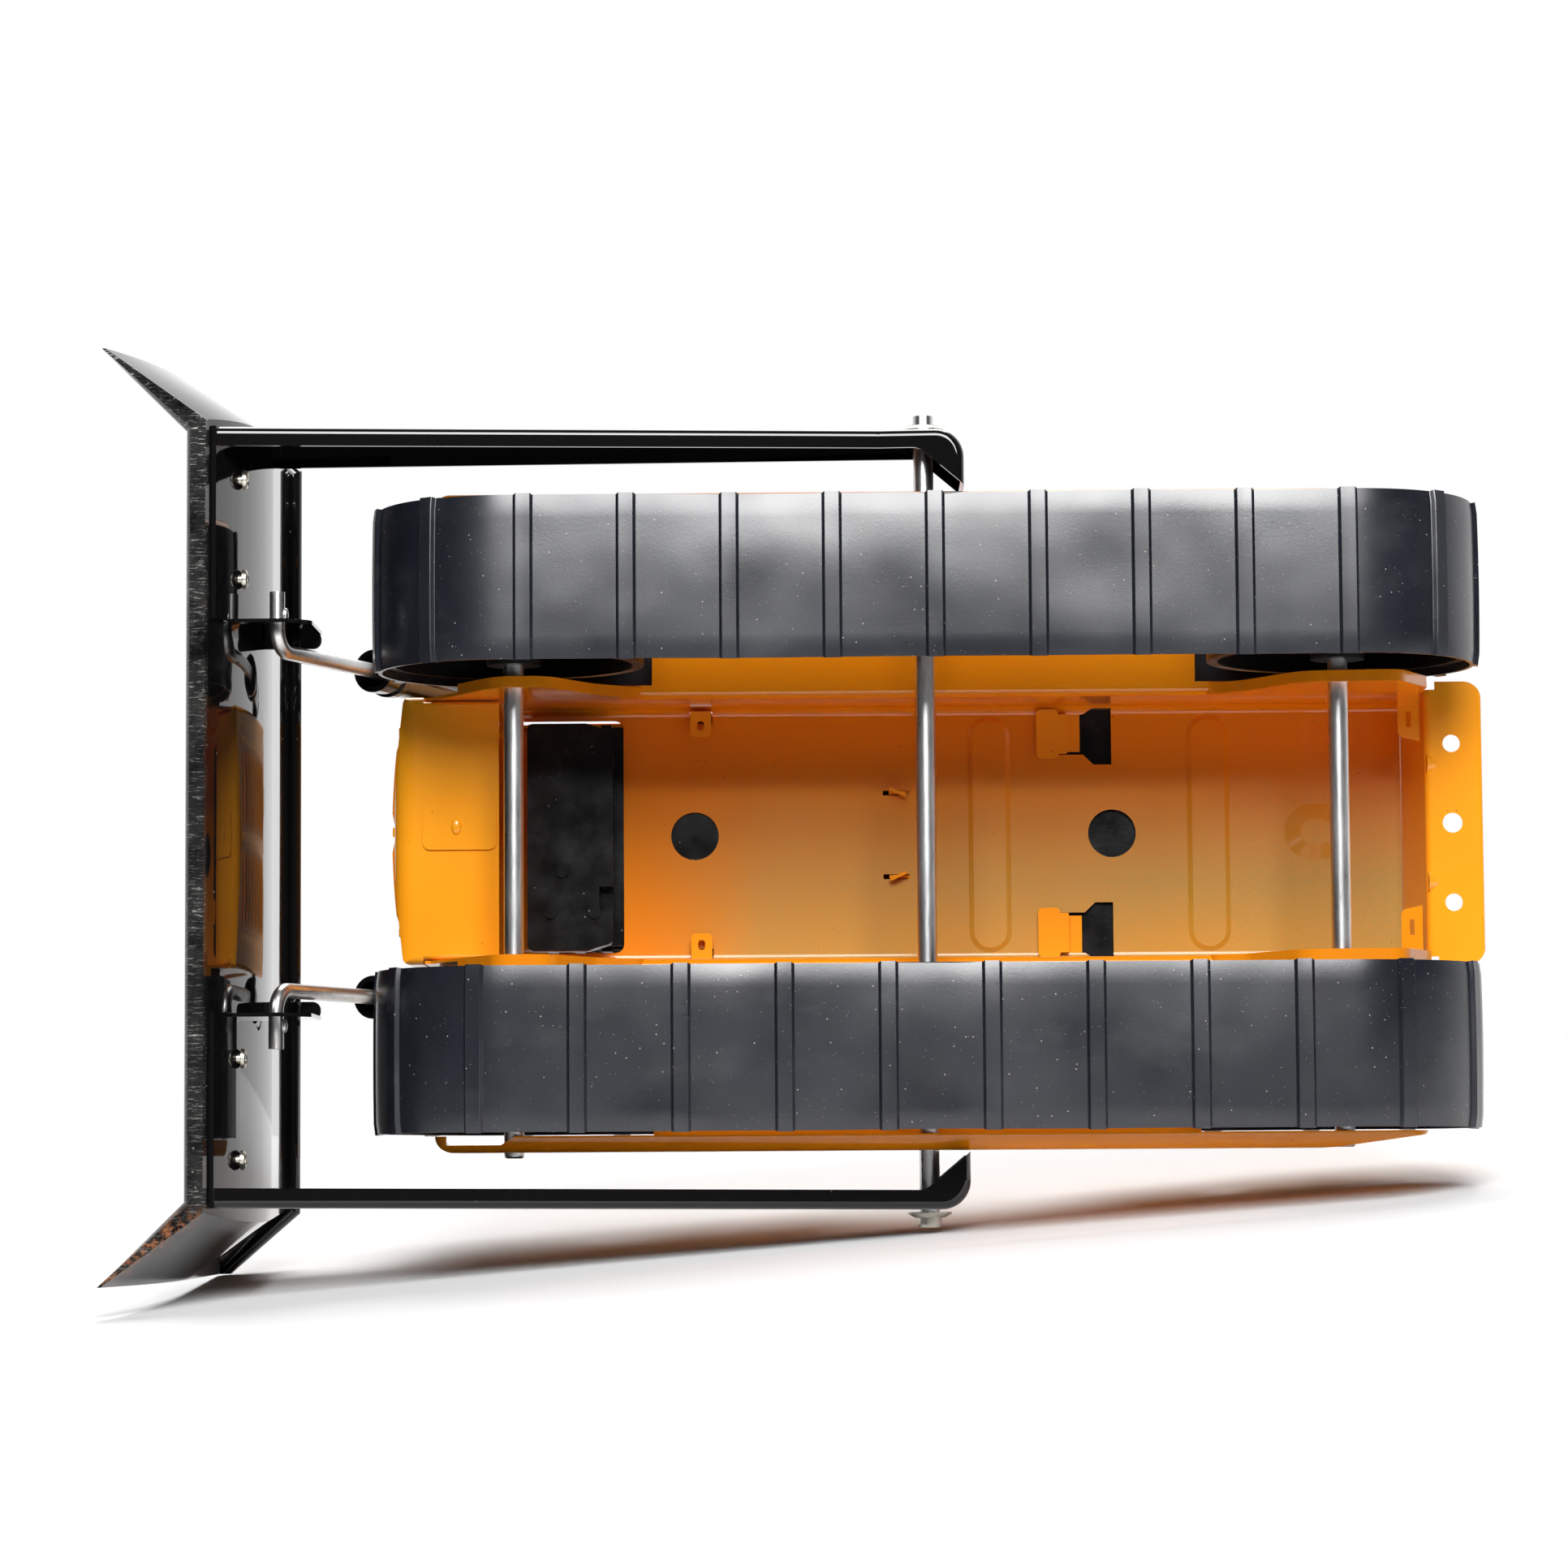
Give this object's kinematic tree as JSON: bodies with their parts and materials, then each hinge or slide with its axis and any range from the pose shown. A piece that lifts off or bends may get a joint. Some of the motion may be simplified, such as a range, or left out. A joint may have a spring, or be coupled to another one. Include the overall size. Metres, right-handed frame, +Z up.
{
  "type": "toy bulldozer",
  "caption": "Pressed-steel toy crawler bulldozer with rubber tracks, a swept blade on two push arms, and bent lift rods that slide in two cylinder barrels.",
  "frame": {"origin": "on the ground under the middle of the toy's overall length and width", "axes": "-Y forwards, the way the blade faces; +X the driver's left; +Z up"},
  "size_m": [0.2888, 0.4339, 0.2204],
  "materials": {
    "yellow_enamel": "gloss enamel over pressed steel",
    "black_enamel": "gloss enamel, scratched",
    "black_moulding": "moulded black plastic",
    "wheel_plastic": "moulded black plastic",
    "track_rubber": "satin rubber, dusty",
    "zinc_rod": "zinc-plated, lightly streaked",
    "fastener_steel": "zinc-plated, slightly golden"
  },
  "bodies": {
    "chassis": {"body_pan": "yellow_enamel", "hitch_plate": "yellow_enamel", "grille_shell": "yellow_enamel", "hood": "yellow_enamel", "instrument_cowl": "yellow_enamel", "seat_frame": "yellow_enamel", "fuel_tank": "yellow_enamel", "engine_block": "black_moulding", "exhaust_stack": "black_moulding", "air_cleaner": "black_moulding", "seat": "black_moulding", "control_levers": "black_enamel", "left_track_belt": "track_rubber", "right_track_belt": "track_rubber", "front_axle": "zinc_rod", "rear_axle": "zinc_rod", "pivot_axle": "zinc_rod", "axle_washers": "fastener_steel", "left_push_nut": "fastener_steel", "right_push_cap": "fastener_steel"},
    "blade_frame": {"moldboard": "black_enamel", "left_push_arm": "black_enamel", "right_push_arm": "black_enamel", "blade_rivets": "fastener_steel"},
    "left_rod": {"left_lift_rod": "zinc_rod"},
    "right_rod": {"right_lift_rod": "zinc_rod"},
    "left_barrel": {"left_cylinder": "black_enamel"},
    "right_barrel": {"right_cylinder": "black_enamel"},
    "left_front_roller": {"left_front_wheel": "wheel_plastic"},
    "left_rear_roller": {"left_rear_wheel": "wheel_plastic"},
    "right_front_roller": {"right_front_wheel": "wheel_plastic"},
    "right_rear_roller": {"right_rear_wheel": "wheel_plastic"}
  },
  "joints": [
    {"name": "blade_lift", "type": "hinge", "parent": "chassis", "child": "blade_frame", "pos_m": [0, 0.03755, 0.04484], "axis": [-1, 0, 0], "range_deg": [0, 12]},
    {"name": "left_rod_turn", "type": "hinge", "parent": "blade_frame", "child": "left_rod", "pos_m": [0.0612, -0.16545, 0.027], "axis": [1, 0, 0], "range_deg": [0, 1.8]},
    {"name": "left_barrel_turn", "type": "hinge", "parent": "chassis", "child": "left_barrel", "pos_m": [0.0531, -0.11955, 0.14], "axis": [-1, 0, 0], "range_deg": [0, 10.32]},
    {"name": "left_front_spin", "type": "hinge", "parent": "chassis", "child": "left_front_roller", "pos_m": [0.0726, -0.09265, 0.04484], "axis": [1, 0, 0], "continuous": true},
    {"name": "left_rear_spin", "type": "hinge", "parent": "chassis", "child": "left_rear_roller", "pos_m": [0.0726, 0.16775, 0.04484], "axis": [1, 0, 0], "continuous": true},
    {"name": "right_rod_turn", "type": "hinge", "parent": "blade_frame", "child": "right_rod", "pos_m": [-0.0612, -0.16545, 0.027], "axis": [1, 0, 0], "range_deg": [0, 1.8]},
    {"name": "right_barrel_turn", "type": "hinge", "parent": "chassis", "child": "right_barrel", "pos_m": [-0.0531, -0.11955, 0.14], "axis": [-1, 0, 0], "range_deg": [0, 10.32]},
    {"name": "right_front_spin", "type": "hinge", "parent": "chassis", "child": "right_front_roller", "pos_m": [-0.0726, -0.09265, 0.04484], "axis": [1, 0, 0], "continuous": true},
    {"name": "right_rear_spin", "type": "hinge", "parent": "chassis", "child": "right_rear_roller", "pos_m": [-0.0726, 0.16775, 0.04484], "axis": [1, 0, 0], "continuous": true}
  ],
  "couplings": [
    {"joint": "left_rod_turn", "follows": "blade_lift", "ratio": 0.15},
    {"joint": "left_barrel_turn", "follows": "blade_lift", "ratio": 0.86},
    {"joint": "left_rear_spin", "follows": "left_front_spin", "ratio": 1},
    {"joint": "right_rod_turn", "follows": "blade_lift", "ratio": 0.15},
    {"joint": "right_barrel_turn", "follows": "blade_lift", "ratio": 0.86},
    {"joint": "right_rear_spin", "follows": "right_front_spin", "ratio": 1}
  ]
}
